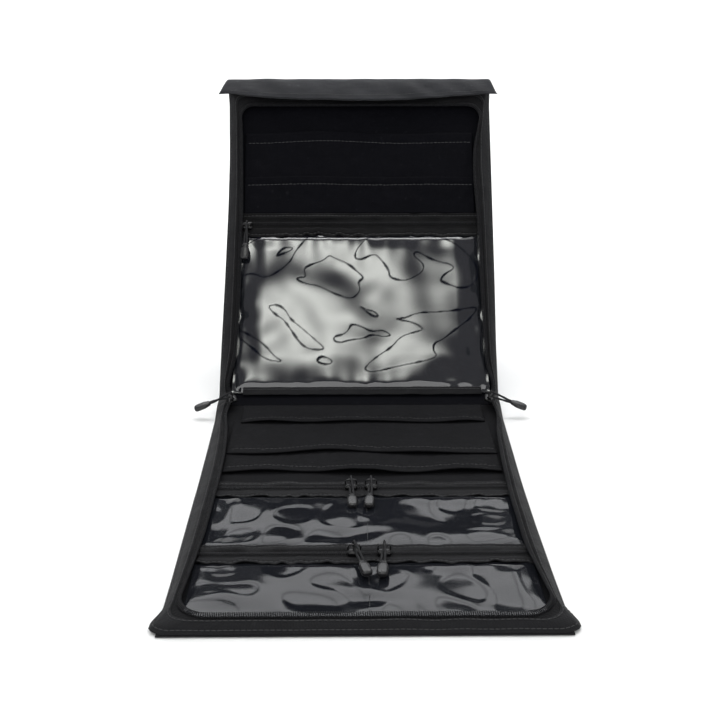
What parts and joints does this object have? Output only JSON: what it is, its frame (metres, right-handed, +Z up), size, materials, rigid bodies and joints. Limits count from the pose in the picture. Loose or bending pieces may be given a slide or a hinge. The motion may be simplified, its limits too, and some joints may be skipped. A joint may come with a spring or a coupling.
{
  "type": "hanging toiletry bag",
  "caption": "Fold-open hanging toiletry bag: two zip-round fabric halves with clear zipped pockets, slip pockets, corded pulls and a stowed hanging hook.",
  "frame": {"origin": "middle of the lower half's underside, on which the open bag lies", "axes": "+X to the right, +Y from the front edge towards the fold and the leaning upper half, +Z up"},
  "size_m": [0.2754, 0.5095, 0.2561],
  "materials": {
    "nylon": "matte woven nylon",
    "lining_cloth": "fine woven lining",
    "board": "plain plastic board",
    "zip_tape": "ribbed woven tape",
    "zip_coil": "satin nylon coil",
    "clear_film": "clear glossy soft film",
    "slider": "black gloss enamel",
    "pull_cord": "braided cord",
    "pull_grip": "moulded satin plastic",
    "webbing": "ribbed webbing",
    "hook_plastic": "moulded plastic"
  },
  "bodies": {
    "lower_half": {"lower_outer_panel": "nylon", "lower_stiffener_board": "board", "lower_lining": "lining_cloth", "lower_left_wall": "nylon", "lower_right_wall": "nylon", "lower_end_wall": "nylon", "lower_main_zip_tape": "zip_tape", "lower_main_zip_coil": "zip_coil", "lower_fold_flap": "lining_cloth", "lower_pocket_flap_1": "lining_cloth", "lower_pocket_flap_2": "lining_cloth", "lower_zip_a_tape": "zip_tape", "lower_zip_a_coil": "zip_coil", "lower_zip_b_tape": "zip_tape", "lower_zip_b_coil": "zip_coil", "lower_window_a": "clear_film", "lower_window_b": "clear_film"},
    "spine": {"spine_outer_panel": "nylon", "spine_lining": "lining_cloth", "spine_left_gusset": "nylon", "spine_right_gusset": "nylon", "main_left_slider": "slider", "main_right_slider": "slider"},
    "upper_half": {"upper_outer_panel": "nylon", "upper_stiffener_board": "board", "upper_lining": "lining_cloth", "upper_left_wall": "nylon", "upper_right_wall": "nylon", "upper_end_wall": "nylon", "upper_main_zip_tape": "zip_tape", "upper_main_zip_coil": "zip_coil", "upper_slip_pocket_1": "lining_cloth", "upper_slip_pocket_2": "lining_cloth", "upper_zip_tape": "zip_tape", "upper_zip_coil": "zip_coil", "upper_window": "clear_film", "upper_window_binding": "nylon", "upper_hang_loop": "webbing"},
    "zip_a_left_slider": {"zip_a_left_slider": "slider"},
    "zip_a_left_pull": {"zip_a_left_pull_cord": "pull_cord", "zip_a_left_pull_grip": "pull_grip"},
    "zip_a_right_slider": {"zip_a_right_slider": "slider"},
    "zip_a_right_pull": {"zip_a_right_pull_cord": "pull_cord", "zip_a_right_pull_grip": "pull_grip"},
    "zip_b_left_slider": {"zip_b_left_slider": "slider"},
    "zip_b_left_pull": {"zip_b_left_pull_cord": "pull_cord", "zip_b_left_pull_grip": "pull_grip"},
    "zip_b_right_slider": {"zip_b_right_slider": "slider"},
    "zip_b_right_pull": {"zip_b_right_pull_cord": "pull_cord", "zip_b_right_pull_grip": "pull_grip"},
    "upper_zip_slider": {"upper_zip_slider": "slider"},
    "upper_zip_pull": {"upper_zip_pull_cord": "pull_cord", "upper_zip_pull_grip": "pull_grip"},
    "main_left_pull": {"main_left_pull_cord": "pull_cord", "main_left_pull_grip": "pull_grip"},
    "main_right_pull": {"main_right_pull_cord": "pull_cord", "main_right_pull_grip": "pull_grip"},
    "hook_yoke": {"hook_yoke": "hook_plastic"},
    "hook": {"hook": "hook_plastic"}
  },
  "joints": [
    {"name": "lower_fold", "type": "hinge", "parent": "lower_half", "child": "spine", "pos_m": [0, 0.15, 0.0005], "axis": [1, 0, 0], "range_deg": [-12, 78]},
    {"name": "upper_fold", "type": "hinge", "parent": "spine", "child": "upper_half", "pos_m": [0, 0.18521, 0.00799], "axis": [1, 0, 0], "range_deg": [-43.5, 46.5]},
    {"name": "zip_a_left_slide", "type": "slide", "parent": "lower_half", "child": "zip_a_left_slider", "axis": [-1, 0, 0], "range_m": [0, 0.089]},
    {"name": "zip_a_left_pull_swing", "type": "hinge", "parent": "zip_a_left_slider", "child": "zip_a_left_pull", "pos_m": [-0.0085, 0.0215, 0.0125], "axis": [-1, 0, 0], "range_deg": [0, 188]},
    {"name": "zip_a_right_slide", "type": "slide", "parent": "lower_half", "child": "zip_a_right_slider", "axis": [1, 0, 0], "range_m": [0, 0.091]},
    {"name": "zip_a_right_pull_swing", "type": "hinge", "parent": "zip_a_right_slider", "child": "zip_a_right_pull", "pos_m": [0.006, 0.0215, 0.0125], "axis": [-1, 0, 0], "range_deg": [0, 188]},
    {"name": "zip_b_left_slide", "type": "slide", "parent": "lower_half", "child": "zip_b_left_slider", "axis": [-1, 0, 0], "range_m": [0, 0.091]},
    {"name": "zip_b_left_pull_swing", "type": "hinge", "parent": "zip_b_left_slider", "child": "zip_b_left_pull", "pos_m": [-0.0065, -0.069, 0.0125], "axis": [-1, 0, 0], "range_deg": [0, 188]},
    {"name": "zip_b_right_slide", "type": "slide", "parent": "lower_half", "child": "zip_b_right_slider", "axis": [1, 0, 0], "range_m": [0, 0.072]},
    {"name": "zip_b_right_pull_swing", "type": "hinge", "parent": "zip_b_right_slider", "child": "zip_b_right_pull", "pos_m": [0.0127, -0.069, 0.0125], "axis": [-1, 0, 0], "range_deg": [0, 188]},
    {"name": "upper_zip_slide", "type": "slide", "parent": "upper_half", "child": "upper_zip_slider", "axis": [1, 0, 0], "range_m": [0, 0.198]},
    {"name": "upper_zip_pull_swing", "type": "hinge", "parent": "upper_zip_slider", "child": "upper_zip_pull", "pos_m": [-0.1, 0.26283, 0.14211], "axis": [-1, 0, 0], "range_deg": [0, 188]},
    {"name": "main_left_pull_swing", "type": "hinge", "parent": "spine", "child": "main_left_pull", "pos_m": [-0.10977, 0.16382, 0.01922], "axis": [-0.2079, 0.9568, 0.2034], "range_deg": [0, 110]},
    {"name": "main_right_pull_swing", "type": "hinge", "parent": "spine", "child": "main_right_pull", "pos_m": [0.10977, 0.16382, 0.01922], "axis": [-0.2079, -0.9568, -0.2034], "range_deg": [0, 110]},
    {"name": "hook_tilt", "type": "hinge", "parent": "upper_half", "child": "hook_yoke", "pos_m": [0, 0.35625, 0.2496], "axis": [1, 0, 0], "range_deg": [-10, 146]},
    {"name": "hook_swivel", "type": "hinge", "parent": "hook_yoke", "child": "hook", "pos_m": [0, 0.35625, 0.2496], "axis": [0, 0, 1], "continuous": true}
  ]
}
